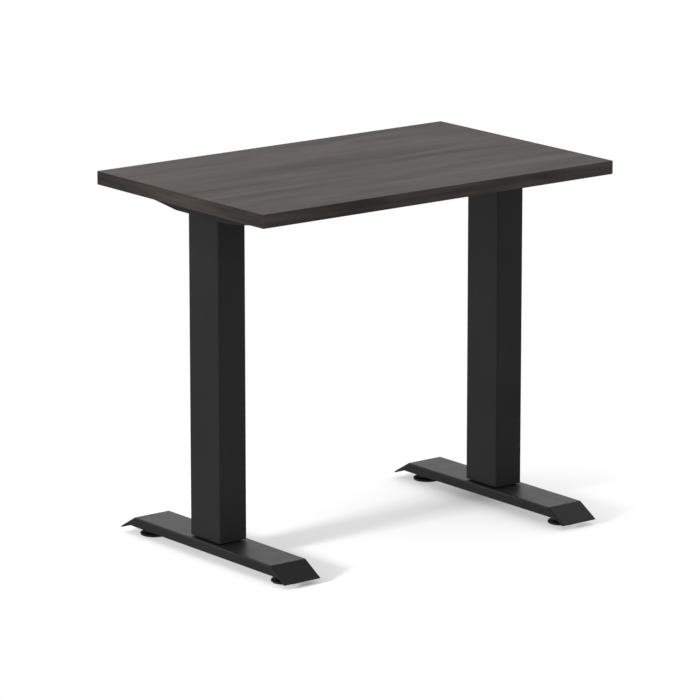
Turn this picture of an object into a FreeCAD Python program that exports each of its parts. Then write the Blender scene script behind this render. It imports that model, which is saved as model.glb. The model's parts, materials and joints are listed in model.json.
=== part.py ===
"""Height adjustable standing desk: two telescopic lifting columns, each on a folded
steel foot, under an edge-banded board.  Millimetres.  The origin is on the floor under
the middle of the desk, +X runs to the right, +Y to the back and +Z up.  The desk is
modelled fully lowered."""

import FreeCAD, Part
import math
import os
import re
import Sketcher
from FreeCAD import Placement, Rotation, Vector

DIMENSIONS = [
    # the whole desk
    ("desk_height", 681, "floor to the top of the board, fully lowered"),
    ("board_width", 800, "board, left to right"),
    ("board_depth", 500, "board, front to back"),
    ("board_thickness", 25, "board, top to bottom"),
    ("band_thickness", 1, "plastic band glued round the board's edges"),
    ("band_round", 0.7, "rounding of the band's outer edges"),
    ("centre_shift", 4, "board centre behind, and leg centres before, the origin"),
    ("leg_spread", 322, "leg centre to the desk's middle"),
    # foot
    ("foot_length", 500, "foot, front to back"),
    ("foot_width", 80, "foot, left to right"),
    ("foot_top", 36.5, "floor to the foot's flat top"),
    ("foot_flat", 414, "length of the flat top"),
    ("foot_tip", 11.6, "floor to the upper edge of the sloping ends"),
    ("foot_sheet", 3, "sheet steel of the foot"),
    ("foot_wall_bottom", 18.8, "floor to the lower edge of the side walls"),
    ("foot_bend", 6, "outer radius of the bends across the foot"),
    ("foot_edge", 2.5, "outer radius of the bends along the foot"),
    # adjustable glides
    ("glide_spread", 199.5, "glide centre to foot centre"),
    ("glide_radius", 26, "glide flange"),
    ("glide_flange", 4.5, "thickness of the flange at its rim"),
    ("glide_bevel", 1, "bevels of the flange and rise towards its boss"),
    ("glide_boss_radius", 15, "boss on the flange"),
    ("glide_height", 13, "floor to the top of the boss"),
    ("glide_travel", 8, "how far a glide screws out"),
    ("socket_floor", 2.6, "floor to the socket inside the glide"),
    ("socket_radius", 8.3, "socket in the glide"),
    ("socket_height", 4.6, "height of the socket"),
    ("stud_radius", 4, "M8 stud"),
    ("stud_head_radius", 8, "round head of the stud"),
    ("stud_head_height", 4.2, "height of the stud's head"),
    ("stud_top_gap", 0.4, "stud to the sheet above it"),
    ("stud_play", 0.3, "stud to the mouth of its glide"),
    ("stud_float", 0.2, "stud's head to the floor of its socket"),
    ("stud_bevel", 1, "bevel at the stud's tip"),
    ("nut_across", 13, "stud nut, across flats"),
    ("nut_length", 14, "stud nut, welded under the foot's top"),
    # column tubes
    ("outer_width", 60, "outer tube, left to right"),
    ("outer_depth", 90, "outer tube, front to back"),
    ("outer_corner", 3, "outer tube, corner radius"),
    ("tube_step", 6, "each tube is this much smaller than the one round it"),
    ("tube_sheet", 1.5, "wall of every tube"),
    ("inner_corner", 2.5, "corner radius of the two hidden tubes"),
    ("outer_lift", 3.5, "foot top to the outer tube's end"),
    ("middle_lift", 1.5, "foot top to the middle tube's end"),
    ("middle_length", 432, "length of the middle tube"),
    ("inner_length", 420, "length of the inner tube"),
    ("collar_lip", 1, "plastic lip under the outer tube's end"),
    ("slider_length", 45, "length of each plastic slider ring"),
    ("slider_play", 0.1, "slider ring to the tube that slides on it"),
    # lifting screws
    ("drive_radius", 7, "drive screw"),
    ("drive_bottom", 150, "floor to the drive screw's lower end"),
    ("drive_bevel", 1, "bevel at the drive screw's tip, and its keyways' run-out"),
    ("drive_collar_gap", 0.5, "drive screw's collar to the gearbox"),
    ("screw_end_gap", 1, "a screw's end to the floor of its seat"),
    ("hollow_radius", 12, "hollow screw, outside"),
    ("hollow_bottom", 100, "floor to the hollow screw's lower end"),
    ("thread_play", 0.05, "radial play of threads and bearings"),
    ("collar_radius", 14, "thrust collar on the hollow screw"),
    ("collar_height", 4, "height of a thrust collar"),
    ("drive_collar_radius", 11, "thrust collar on the drive screw"),
    ("key_width", 3.6, "key inside the hollow screw"),
    ("key_depth", 1.6, "how far a key reaches into its keyway"),
    ("key_length", 20, "length of a key"),
    ("key_play", 0.2, "key to keyway"),
    ("key_root", 1, "how far a key reaches into the wall that holds it"),
    ("nut_block_height", 30, "lower nut, fixed in the inner tube"),
    ("nut_plug", 10, "depth of the upper nut's plug in the middle tube"),
    ("nut_flange", 6, "flange of the upper nut on the middle tube"),
    ("nut_boss_radius", 22, "round boss of the upper nut"),
    ("nut_boss_height", 22, "height of that boss"),
    ("bearing_radius", 18, "ball bearing, outside"),
    ("bearing_height", 12, "ball bearing, height"),
    ("bearing_roof", 2, "bearing below the upper face of the nut's flange"),
    ("journal_height", 8, "top of the hollow screw above its bearing"),
    # drive in the head of the column
    ("head_thickness", 10, "plate welded in the top of the outer tube"),
    ("motor_radius", 26, "motor"),
    ("motor_height", 103.5, "motor, gearbox to head plate"),
    ("motor_bell", 8, "rounding of the motor's ends"),
    ("gearbox_width", 54, "gearbox, left to right"),
    ("gearbox_depth", 80, "gearbox, front to back"),
    ("gearbox_height", 36, "gearbox"),
    ("gearbox_corner", 8, "gearbox corner radius"),
    ("shaft_depth", 15, "drive screw's seat in the gearbox"),
    ("lead_slot_width", 14, "slot for the motor lead in the head plate"),
    ("lead_slot_depth", 10, "depth of that slot"),
    # under-desk frame
    ("bracket_length", 400, "side bracket, front to back"),
    ("bracket_sheet", 2.5, "sheet steel of the brackets"),
    ("bracket_play", 0.25, "column face to bracket wall"),
    ("bracket_drop", 24, "depth of the bracket at the column"),
    ("bracket_flat", 156, "length of the bracket's deep middle"),
    ("bracket_tip", 8.5, "depth of the bracket at its ends"),
    ("rail_spread", 75, "rail centre to leg centre"),
    ("rail_width", 40, "rail, front to back"),
    ("rail_height", 20, "rail, top to bottom"),
    ("rail_sheet", 2, "sheet steel of the rails"),
    # fasteners
    ("screw_radius", 2.5, "M5 countersunk machine screw"),
    ("screw_head_radius", 4.6, "countersunk head"),
    ("screw_length", 12, "machine screw, overall"),
    ("screw_socket", 3, "hexagon socket in the head, across flats"),
    ("screw_socket_depth", 1.6, "depth of that socket"),
    ("column_screw_x", 18, "column screw to the column's centre, sideways"),
    ("column_screw_y", 32, "column screw to the column's centre, lengthways"),
    ("rail_screw_y", 12, "rail screw to the rail's centre line"),
    ("rail_screw_drop", 11, "rail screw below the board"),
    ("wood_screw_radius", 2.4, "wood screw"),
    ("wood_head_radius", 4.5, "pan head of the wood screw"),
    ("wood_head_height", 3, "height of the pan head"),
    ("wood_head_round", 1.2, "rounding of the pan head"),
    ("cross_length", 4.6, "cross recess in the pan head, tip to tip"),
    ("cross_width", 1.1, "width of one arm of that cross"),
    ("cross_depth", 1.6, "depth of that cross"),
    ("wood_screw_length", 16, "wood screw under its head"),
    ("pilot_depth", 14, "pilot hole in the board"),
    ("bracket_screw_near", 110, "wood screw to the leg centre"),
    ("bracket_screw_far", 180, "wood screw to the leg centre"),
    ("rail_screw_x", 200, "wood screw to the desk's middle, in the rails"),
    ("foot_screw_radius", 3, "M6 hexagon screw"),
    ("foot_screw_hole", 3.3, "its hole in the foot"),
    ("foot_screw_across", 10, "across flats"),
    ("foot_screw_head", 4, "height of its head"),
    ("foot_screw_length", 12, "length under the head"),
    ("foot_screw_x", 12, "foot screw to the column's centre, sideways"),
    ("foot_screw_y", 26, "foot screw to the column's centre, lengthways"),
    ("base_plate", 10, "plate welded in the foot end of the inner tube"),
    ("cut_margin", 1, "how far a cut reaches past a face"),
    # control box
    ("box_width", 250, "control box, left to right"),
    ("box_depth", 90, "control box, front to back"),
    ("box_height", 33, "control box, under its mounting plate"),
    ("box_wall", 2, "wall of the control box"),
    ("box_corner", 5, "its corner radius"),
    ("plate_thickness", 2, "mounting plate of the control box"),
    ("plate_ear", 16, "how far the plate reaches past the box"),
    ("ear_screw_y", 32, "plate screw to the box's centre line"),
    ("socket_pitch", 30, "spacing of the three lead sockets"),
    ("lead_socket_width", 16, "lead socket"),
    ("lead_socket_height", 12, "lead socket"),
    ("lead_socket_reach", 14, "lead socket, into the box"),
    ("mains_width", 30, "mains inlet"),
    ("mains_height", 22, "mains inlet"),
    ("mains_reach", 24, "mains inlet, into the box"),
    ("mains_x", 70, "mains inlet to the box's middle"),
    ("socket_recess", 10, "depth of the openings in the sockets"),
    ("socket_wall", 2, "wall round those openings"),
    ("board_sheet", 1.6, "circuit board thickness"),
    ("board_lift", 4, "circuit board above the box's floor"),
    ("board_margin", 4, "circuit board to the walls"),
    ("coil_radius", 14, "round transformer on the circuit board"),
    ("coil_height", 18, "its height"),
    ("capacitor_radius", 6, "capacitor"),
    ("capacitor_height", 20, "its height"),
    # handset
    ("handset_x", 220, "handset to the desk's middle"),
    ("handset_setback", 64, "board's front edge to the handset's front"),
    ("handset_width", 90, "handset, left to right"),
    ("handset_depth", 46, "handset, front to back"),
    ("handset_height", 15, "handset, top to bottom"),
    ("handset_wall", 2, "wall of the handset"),
    ("handset_corner", 4, "its corner radius"),
    ("ear_width", 14, "screw ear beside the handset"),
    ("ear_length", 24, "screw ear, front to back"),
    ("button_x", 18, "button to the handset's middle"),
    ("button_width", 20, "button, left to right"),
    ("button_height", 7, "button, top to bottom"),
    ("button_corner", 3, "its corner radius"),
    ("button_proud", 1.5, "how far a button stands proud"),
    ("button_play", 0.3, "button to the rim of its hole"),
    ("button_rim", 1, "flange that keeps a button in"),
    ("button_rim_depth", 1, "thickness of that flange"),
    ("button_travel", 1, "how far a button presses in"),
    ("arrow_width", 5, "raised arrow on a button, left to right"),
    ("arrow_height", 3, "raised arrow, top to bottom"),
    ("arrow_proud", 0.4, "how far the arrow stands proud of the button"),
    ("card_margin", 1.5, "handset's circuit board to the walls"),
    ("switch_side", 6, "push switch behind a button"),
    ("switch_height", 4, "its height"),
]

ZERO = "0"
FULL_TURN = 360
HALF_TURN = 180
RIGHT_ANGLE = 90
HEXAGON = 6
NEAR = 0.01  # mm, for picking edges by where they are
TINY = 1e-6
UP = Vector(0, 0, 1)

# levels above the floor, as expressions in the sheet's names
UNDERSIDE = "(desk_height - board_thickness)"
COLUMN_TOP = "(desk_height - board_thickness - bracket_sheet)"
HEAD_BOTTOM = f"({COLUMN_TOP} - head_thickness)"
GEARBOX_TOP = f"({HEAD_BOTTOM} - motor_height)"
GEARBOX_BOTTOM = f"({GEARBOX_TOP} - gearbox_height)"
OUTER_BOTTOM = "(foot_top + outer_lift)"
MIDDLE_BOTTOM = "(foot_top + middle_lift)"
MIDDLE_TOP = "(foot_top + middle_lift + middle_length)"
INNER_TOP = "(foot_top + inner_length)"
BEARING_TOP = f"({MIDDLE_TOP} + nut_flange - bearing_roof)"
HOLLOW_TOP = f"({BEARING_TOP} + journal_height)"
FOOT_CEILING = "(foot_top - foot_sheet)"

# outlines shared by neighbouring pieces
MIDDLE_WIDTH = "(outer_width - tube_step)"
MIDDLE_DEPTH = "(outer_depth - tube_step)"
INNER_WIDTH = "(outer_width - 2 * tube_step)"
INNER_DEPTH = "(outer_depth - 2 * tube_step)"
LEG_Y = "(0 - centre_shift)"

SIDES = {"left": ("(0 - leg_spread)", 0), "right": ("leg_spread", HALF_TURN)}
GLIDES = {
    "left_front": ("(0 - leg_spread)", "(0 - centre_shift - glide_spread)"),
    "left_rear": ("(0 - leg_spread)", "(0 - centre_shift + glide_spread)"),
    "right_front": ("leg_spread", "(0 - centre_shift - glide_spread)"),
    "right_rear": ("leg_spread", "(0 - centre_shift + glide_spread)"),
}

doc = FreeCAD.newDocument("standing_desk")
dims = doc.addObject("Spreadsheet::Sheet", "dims")
for row, (alias, size, meaning) in enumerate(DIMENSIONS, start=1):
    dims.set(f"A{row}", alias)
    dims.set(f"B{row}", str(size))
    dims.setAlias(f"B{row}", alias)
    dims.set(f"C{row}", meaning)
doc.recompute()

subparts = []


# ---------------------------------------------------------------- drawing helpers
def in_sheet(expression):
    """The expression with each of the sheet's names given its full path."""
    return re.sub(r"[a-z][a-z_]*", lambda name: "dims." + name.group(), expression)


def value(expression):
    return float(dims.evalExpression(in_sheet(expression)))


def bind(thing, prop, expression):
    thing.setExpression(prop, in_sheet(expression))


def keep(piece, label):
    piece.Label = label
    subparts.append(piece)
    return piece


def new_body(label, x=ZERO, y=ZERO, turn=0):
    """An empty body, turned about its own upright axis and set at x, y."""
    body = keep(doc.addObject("PartDesign::Body", label), label)
    body.Placement = Placement(Vector(), Rotation(UP, turn))
    bind(body, "Placement.Base.x", x)
    bind(body, "Placement.Base.y", y)
    return body


def new_sketch(body, role, offset=None):
    """A sketch on one of the body's own planes, moved out along the plane's normal."""
    sketch = body.newObject("Sketcher::SketchObject", body.Name + "_sketch")
    plane = next(f for f in body.Origin.OriginFeatures if f.Role == role)
    sketch.AttachmentSupport = [(plane, "")]
    sketch.MapMode = "FlatFace"
    if offset:
        bind(sketch, "AttachmentOffset.Base.z", offset)
    return sketch


def pin(sketch, geometry, point, x=None, y=None):
    """Hold a point of the sketch at x and y from its origin."""
    for kind, expression in (("DistanceX", x), ("DistanceY", y)):
        if expression is not None:
            rule = Sketcher.Constraint(kind, -1, 1, geometry, point, value(expression))
            number = sketch.addConstraint(rule)
            bind(sketch, f"Constraints[{number}]", expression)


def polygon(sketch, corners):
    first = sketch.GeometryCount
    count = len(corners)
    places = [Vector(value(x), value(y), 0) for x, y in corners]
    for i in range(count):
        sketch.addGeometry(Part.LineSegment(places[i], places[(i + 1) % count]), False)
    for i, (x, y) in enumerate(corners):
        following = first + (i + 1) % count
        sketch.addConstraint(Sketcher.Constraint("Coincident", first + i, 2, following, 1))
        pin(sketch, first + i, 1, x, y)


def rectangle(sketch, width, depth, x=ZERO, y=ZERO):
    """A rectangle centred on x, y."""
    west, east = f"({x}) - ({width}) / 2", f"({x}) + ({width}) / 2"
    south, north = f"({y}) - ({depth}) / 2", f"({y}) + ({depth}) / 2"
    polygon(sketch, [(west, south), (east, south), (east, north), (west, north)])


def rounded_rectangle(sketch, width, depth, radius, x=ZERO, y=ZERO):
    """A rectangle centred on x, y whose four corners are tangent arcs."""
    first = sketch.GeometryCount
    half_width, half_depth, r = value(width) / 2, value(depth) / 2, value(radius)
    centre = Vector(value(x), value(y), 0)
    # the sides in turn: which way each runs, and the corner that it runs to
    sides = [(Vector(1, 0, 0), (1, -1)), (Vector(0, 1, 0), (1, 1)),
             (Vector(-1, 0, 0), (-1, 1)), (Vector(0, -1, 0), (-1, -1))]
    for i, (along, (sx, sy)) in enumerate(sides):
        upright = i % 2
        length = 2 * ((half_depth if upright else half_width) - r)
        bend = centre + Vector(sx * (half_width - r), sy * (half_depth - r), 0)
        end = bend + Vector(along.y, -along.x, 0) * r
        sketch.addGeometry(Part.LineSegment(end - along * length, end), False)
        start_angle = math.radians((i - 1) * RIGHT_ANGLE)
        end_angle = math.radians(i * RIGHT_ANGLE)
        arc = Part.ArcOfCircle(Part.Circle(bend, UP, r), start_angle, end_angle)
        sketch.addGeometry(arc, False)
    count = 2 * len(sides)
    for i in range(len(sides)):
        line, arc, following = first + 2 * i, first + 2 * i + 1, first + (2 * i + 2) % count
        sketch.addConstraint(Sketcher.Constraint("Tangent", line, 2, arc, 1))
        sketch.addConstraint(Sketcher.Constraint("Tangent", arc, 2, following, 1))
        sketch.addConstraint(Sketcher.Constraint("Vertical" if i % 2 else "Horizontal", line))
        if i:
            sketch.addConstraint(Sketcher.Constraint("Equal", first + 1, arc))
    rule = sketch.addConstraint(Sketcher.Constraint("Radius", first + 1, r))
    bind(sketch, f"Constraints[{rule}]", radius)
    pin(sketch, first, 1, f"({x}) - ({width}) / 2 + ({radius})", f"({y}) - ({depth}) / 2")
    pin(sketch, first, 2, f"({x}) + ({width}) / 2 - ({radius})")
    pin(sketch, first + 4, 1, y=f"({y}) + ({depth}) / 2")


def circle(sketch, radius, x=ZERO, y=ZERO):
    centre = Vector(value(x), value(y), 0)
    number = sketch.addGeometry(Part.Circle(centre, UP, value(radius)), False)
    pin(sketch, number, 3, x, y)
    rule = sketch.addConstraint(Sketcher.Constraint("Radius", number, value(radius)))
    bind(sketch, f"Constraints[{rule}]", radius)


def feature(body, kind, sketch, length, side="One side", backwards=False):
    """A pad or a pocket of the sketch."""
    step = body.newObject("PartDesign::" + kind, f"{body.Name}_{kind}")
    step.Profile = (sketch, [""])
    bind(step, "Length", length)
    step.SideType = side
    step.Reversed = backwards
    sketch.Visibility = False
    return step


def pad(body, sketch, length, **options):
    return feature(body, "Pad", sketch, length, **options)


def pocket(body, sketch, length, **options):
    """A pocket, which must take material away."""
    doc.recompute()
    before = body.Shape.Volume
    step = feature(body, "Pocket", sketch, length, **options)
    doc.recompute()
    if body.Shape.Volume > before - TINY:
        raise RuntimeError(f"{step.Label} cuts nothing")
    return step


def revolve(body, outline):
    """Turn an outline of (radius, height) pairs about the body's upright axis."""
    sketch = new_sketch(body, "XZ_Plane")
    polygon(sketch, outline)
    turned = body.newObject("PartDesign::Revolution", body.Name + "_Revolution")
    turned.Profile = (sketch, [""])
    turned.ReferenceAxis = (sketch, ["V_Axis"])
    turned.Angle = FULL_TURN
    return turned


def round_edges(body, radius, chosen):
    """Fillet the edges of the body's last step that the test chooses."""
    doc.recompute()
    base = body.Tip
    names = [f"Edge{i}" for i, edge in enumerate(base.Shape.Edges, 1) if chosen(edge)]
    step = body.newObject("PartDesign::Fillet", body.Name + "_Fillet")
    step.Base = (base, names)
    bind(step, "Radius", radius)
    return step


def runs_along(edge, axis):
    """Is the edge straight and parallel to the axis?"""
    if edge.Curve.TypeId != "Part::GeomLine":
        return False
    return abs(abs(edge.Curve.Direction.dot(axis)) - 1) < TINY


def ring(body, bottom, height, outside, inside):
    """An upright tube between two rounded outlines of (width, depth, corner)."""
    sketch = new_sketch(body, "XY_Plane", bottom)
    rounded_rectangle(sketch, *outside)
    rounded_rectangle(sketch, *inside)
    pad(body, sketch, height)


def group(label, solids, x=ZERO, y=ZERO):
    """Separate solids of one kind in one sub-part."""
    piece = keep(doc.addObject("Part::Feature", label), label)
    piece.Shape = Part.makeCompound(solids)
    piece.Placement = Placement(Vector(value(x), value(y), 0), Rotation())
    return piece


# ---------------------------------------------------------------- board
def wood_screw_places():
    """(x, y, height of the seat) of every wood screw under the board."""
    seat = value(COLUMN_TOP)
    near, far = value("bracket_screw_near"), value("bracket_screw_far")
    leg_x, leg_y = value("leg_spread"), value(LEG_Y)
    places = [(sx * leg_x, leg_y + y, seat)
              for sx in (-1, 1) for y in (-far, -near, near, far)]
    rail_seat = value(f"{UNDERSIDE} - rail_sheet")
    places += [(sx * value("rail_screw_x"), leg_y + sy * value("rail_spread"), rail_seat)
               for sx in (-1, 1) for sy in (-1, 1)]
    plate_seat = value(f"{UNDERSIDE} - plate_thickness")
    plate_x = value("(box_width + plate_ear) / 2")
    places += [(sx * plate_x, leg_y + sy * value("ear_screw_y"), plate_seat)
               for sx in (-1, 1) for sy in (-1, 1)]
    ear_x = value("(handset_width + ear_width) / 2")
    places += [(value("handset_x") + sx * ear_x, value(HANDSET_Y), plate_seat)
               for sx in (-1, 1)]
    return places


def desktop_board():
    """The chipboard core, with a pilot hole for every wood screw."""
    body = new_body("desktop_board", y="centre_shift")
    outline = new_sketch(body, "XY_Plane", UNDERSIDE)
    rectangle(outline, "board_width - 2 * band_thickness", "board_depth - 2 * band_thickness")
    pad(body, outline, "board_thickness")
    holes = new_sketch(body, "XY_Plane", UNDERSIDE)
    for x, y, _ in wood_screw_places():
        circle(holes, "wood_screw_radius", f"({x})", f"({y}) - centre_shift")
    pocket(body, holes, "pilot_depth", backwards=True)


def edge_bands():
    """Long bands cover the ends of the short ones; outer edges are slightly rounded."""
    width, depth = value("board_width"), value("board_depth")
    thickness, height = value("band_thickness"), value("board_thickness")
    bottom = value(UNDERSIDE)
    short = depth - 2 * thickness

    def rounded(band, joined):
        """The band with its edges rounded, but for those on its joined faces."""
        def is_free(edge):
            box = edge.BoundBox
            return not any(
                abs(getattr(box, axis + "Min") - level) < NEAR
                and abs(getattr(box, axis + "Max") - level) < NEAR
                for axis, level in joined)
        return band.makeFillet(value("band_round"), [e for e in band.Edges if is_free(e)])

    solids = []
    for side in (-1, 1):
        inner = side * short / 2
        corner = Vector(-width / 2, min(inner, side * depth / 2), bottom)
        long_band = Part.makeBox(width, thickness, height, corner)
        solids.append(rounded(long_band, [("Y", inner)]))
        inner = side * (width / 2 - thickness)
        corner = Vector(min(inner, side * width / 2), -short / 2, bottom)
        short_band = Part.makeBox(thickness, short, height, corner)
        solids.append(rounded(short_band, [("X", inner), ("Y", -short / 2), ("Y", short / 2)]))
    group("edge_bands", solids, y="centre_shift")


def desktop_screws():
    """Pan-head wood screws with a cross recess, up through the frame into the board."""
    head_radius, head_height = value("wood_head_radius"), value("wood_head_height")
    shank_radius, tip = value("wood_screw_radius"), value(f"{UNDERSIDE} + pilot_depth")
    long, narrow, deep = value("cross_length"), value("cross_width"), value("cross_depth")
    solids = []
    for x, y, seat in wood_screw_places():
        bottom = seat - head_height
        head = Part.makeCylinder(head_radius, head_height, Vector(x, y, bottom))
        rim = [edge for edge in head.Edges if edge.BoundBox.ZMax < bottom + NEAR]
        head = head.makeFillet(value("wood_head_round"), rim)
        for arm_x, arm_y in ((long, narrow), (narrow, long)):
            corner = Vector(x - arm_x / 2, y - arm_y / 2, bottom)
            head = head.cut(Part.makeBox(arm_x, arm_y, deep, corner))
        shank = Part.makeCylinder(shank_radius, tip - seat, Vector(x, y, seat))
        solids.append(head.fuse(shank).removeSplitter())
    group("desktop_screws", solids)


# ---------------------------------------------------------------- foot and glides
def foot(side, x):
    """One folded sheet: a flat top, side walls, and ends that slope to the floor."""
    body = new_body(side + "_foot", x, LEG_Y)
    run = "((foot_length - foot_flat) / 2)"
    drop = "(foot_top - foot_tip)"
    slant = f"(({run} ^ 2 + {drop} ^ 2) ^ 0.5)"
    half_flat, half_length = "(foot_flat / 2)", "(foot_length / 2)"
    # the sheet's lower face is the upper one moved in by the sheet, square to each face
    inset_y = f"(foot_sheet * {drop} / {slant})"
    inset_z = f"(foot_sheet * {run} / {slant})"
    bend_inset = f"(foot_sheet * ({slant} - {run}) / {drop})"
    tip_y, tip_z = f"({half_length} - {inset_y})", f"(foot_tip - {inset_z})"
    ceiling_y = f"({half_flat} - {bend_inset})"
    meet_y = f"({ceiling_y} + ({FOOT_CEILING} - foot_wall_bottom) * {run} / {drop})"

    def mirrored(points):
        return points + [(f"(0 - {y})", z) for y, z in reversed(points)]

    outline = new_sketch(body, "YZ_Plane")
    polygon(outline, mirrored([
        (meet_y, "foot_wall_bottom"), (tip_y, tip_z),
        (half_length, "foot_tip"), (half_flat, "foot_top")]))
    pad(body, outline, "foot_width", side="Symmetric")
    inside = new_sketch(body, "YZ_Plane")
    polygon(inside, mirrored([(tip_y, tip_z), (ceiling_y, FOOT_CEILING)]))
    pocket(body, inside, "foot_width - 2 * foot_sheet", side="Symmetric")
    flat_end, top = value(half_flat), value("foot_top")

    def across_bend(edge):
        spot = edge.CenterOfMass
        on_bend = abs(abs(spot.y) - flat_end) < NEAR and abs(spot.z - top) < NEAR
        return on_bend and runs_along(edge, Vector(1, 0, 0))

    round_edges(body, "foot_bend", across_bend)
    wall_x = value("foot_width / 2")

    def along_top(edge):
        spot = edge.CenterOfMass
        flat = abs(spot.z - top) < NEAR and runs_along(edge, Vector(0, 1, 0))
        return flat and abs(abs(spot.x) - wall_x) < NEAR

    round_edges(body, "foot_edge", along_top)
    holes = new_sketch(body, "XY_Plane", "foot_top")
    for sx in ("foot_screw_x", "(0 - foot_screw_x)"):
        for sy in ("foot_screw_y", "(0 - foot_screw_y)"):
            circle(holes, "foot_screw_hole", sx, sy)
    pocket(body, holes, "2 * foot_sheet")


def hexagon_prism(across, height, centre):
    corner = Vector(across / 3 ** 0.5, 0, 0)
    turns = [Rotation(UP, k * FULL_TURN / HEXAGON) for k in range(HEXAGON + 1)]
    outline = Part.makePolygon([centre + turn.multVec(corner) for turn in turns])
    return Part.Face(outline).extrude(Vector(0, 0, height))


def leveller_nuts(side, x):
    """Two long nuts welded under the foot's top, one for each glide."""
    length, bottom = value("nut_length"), value(f"{FOOT_CEILING} - nut_length")
    bore = value("stud_radius + thread_play")
    solids = []
    for sy in (-1, 1):
        spot = Vector(0, sy * value("glide_spread"), bottom)
        nut = hexagon_prism(value("nut_across"), length, spot)
        solids.append(nut.cut(Part.makeCylinder(bore, length, spot)))
    group(side + "_leveller_nuts", solids, x, LEG_Y)


def leveller_pad(name, x, y):
    """A plastic glide whose socket holds the stud's round head."""
    body = new_body(name + "_pad", x, y)
    socket_top = "socket_floor + socket_height"
    revolve(body, [
        (ZERO, ZERO), ("glide_radius - glide_bevel", ZERO),
        ("glide_radius", "glide_bevel"),
        ("glide_radius", "glide_flange - glide_bevel"),
        ("glide_radius - glide_bevel", "glide_flange"),
        ("glide_boss_radius", "glide_flange + glide_bevel"),
        ("glide_boss_radius - glide_bevel", "glide_height"),
        ("stud_radius + stud_play", "glide_height"),
        ("stud_radius + stud_play", socket_top), ("socket_radius", socket_top),
        ("socket_radius", "socket_floor"), (ZERO, "socket_floor")])


def leveller_stud(name, x, y):
    """The M8 stud, with a round head held in the glide and room under the foot's top."""
    body = new_body(name + "_stud", x, y)
    head_bottom = "socket_floor + stud_float"
    head_top = f"{head_bottom} + stud_head_height"
    end = f"{FOOT_CEILING} - stud_top_gap"
    revolve(body, [
        (ZERO, head_bottom), ("stud_head_radius", head_bottom),
        ("stud_head_radius", head_top), ("stud_radius", head_top),
        ("stud_radius", f"{end} - stud_bevel"), ("stud_radius - stud_bevel", end), (ZERO, end)])


# ---------------------------------------------------------------- column
def inner_tube(side, x, turn):
    body = new_body(side + "_inner_tube", x, LEG_Y, turn)
    ring(body, "foot_top", "inner_length", (INNER_WIDTH, INNER_DEPTH, "inner_corner"),
         (f"{INNER_WIDTH} - 2 * tube_sheet", f"{INNER_DEPTH} - 2 * tube_sheet",
          "inner_corner - tube_sheet"))


def middle_tube(side, x, turn):
    body = new_body(side + "_middle_tube", x, LEG_Y, turn)
    ring(body, MIDDLE_BOTTOM, "middle_length", (MIDDLE_WIDTH, MIDDLE_DEPTH, "inner_corner"),
         (f"{MIDDLE_WIDTH} - 2 * tube_sheet", f"{MIDDLE_DEPTH} - 2 * tube_sheet",
          "inner_corner - tube_sheet"))


def outer_tube(side, x, turn):
    body = new_body(side + "_outer_tube", x, LEG_Y, turn)
    ring(body, OUTER_BOTTOM, f"{COLUMN_TOP} - {OUTER_BOTTOM}",
         ("outer_width", "outer_depth", "outer_corner"),
         ("outer_width - 2 * tube_sheet", "outer_depth - 2 * tube_sheet",
          "outer_corner - tube_sheet"))


def base_plate(side, x, turn):
    """Welded in the inner tube's lower end and tapped for the foot screws."""
    body = new_body(side + "_base_plate", x, LEG_Y, turn)
    outline = new_sketch(body, "XY_Plane", "foot_top")
    rounded_rectangle(outline, f"{INNER_WIDTH} - 2 * tube_sheet",
                      f"{INNER_DEPTH} - 2 * tube_sheet", "inner_corner - tube_sheet")
    for sx in ("foot_screw_x", "(0 - foot_screw_x)"):
        for sy in ("foot_screw_y", "(0 - foot_screw_y)"):
            circle(outline, "foot_screw_radius", sx, sy)
    pad(body, outline, "base_plate")


def foot_screws(side, x):
    """Hexagon screws up through the foot into the base plate."""
    seat = value(FOOT_CEILING)
    head_height = value("foot_screw_head")
    solids = []
    for sx in (-1, 1):
        for sy in (-1, 1):
            spot = Vector(sx * value("foot_screw_x"), sy * value("foot_screw_y"), seat)
            below = spot - Vector(0, 0, head_height)
            head = hexagon_prism(value("foot_screw_across"), head_height, below)
            shank = Part.makeCylinder(value("foot_screw_radius"),
                                      value("foot_screw_length"), spot)
            solids.append(head.fuse(shank).removeSplitter())
    group(side + "_foot_screws", solids, x, LEG_Y)


def slider(body, bottom, outside, inside):
    ring(body, bottom, "slider_length", outside, inside)


def inner_slider(side, x, turn):
    """Plastic ring round the top of the inner tube, sliding in the middle tube."""
    body = new_body(side + "_inner_slider", x, LEG_Y, turn)
    slider(body, f"{INNER_TOP} - slider_length",
           (f"{MIDDLE_WIDTH} - 2 * tube_sheet - 2 * slider_play",
            f"{MIDDLE_DEPTH} - 2 * tube_sheet - 2 * slider_play",
            "inner_corner - tube_sheet + slider_play"),
           (INNER_WIDTH, INNER_DEPTH, "inner_corner"))


def middle_sliders(side, x, turn):
    """One ring round the middle tube's top and one inside its lower end."""
    upper = new_body(side + "_upper_slider", x, LEG_Y, turn)
    slider(upper, f"{MIDDLE_TOP} - slider_length",
           ("outer_width - 2 * tube_sheet - 2 * slider_play",
            "outer_depth - 2 * tube_sheet - 2 * slider_play",
            "outer_corner - tube_sheet + slider_play"),
           (MIDDLE_WIDTH, MIDDLE_DEPTH, "inner_corner"))
    lower = new_body(side + "_lower_slider", x, LEG_Y, turn)
    slider(lower, MIDDLE_BOTTOM,
           (f"{MIDDLE_WIDTH} - 2 * tube_sheet", f"{MIDDLE_DEPTH} - 2 * tube_sheet",
            "inner_corner - tube_sheet"),
           (f"{INNER_WIDTH} + 2 * slider_play", f"{INNER_DEPTH} + 2 * slider_play",
            "inner_corner - slider_play"))
    pair = keep(doc.addObject("Part::Compound", side + "_middle_sliders"),
                side + "_middle_sliders")
    pair.Links = [upper, lower]
    for member in (upper, lower):
        subparts.remove(member)


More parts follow.
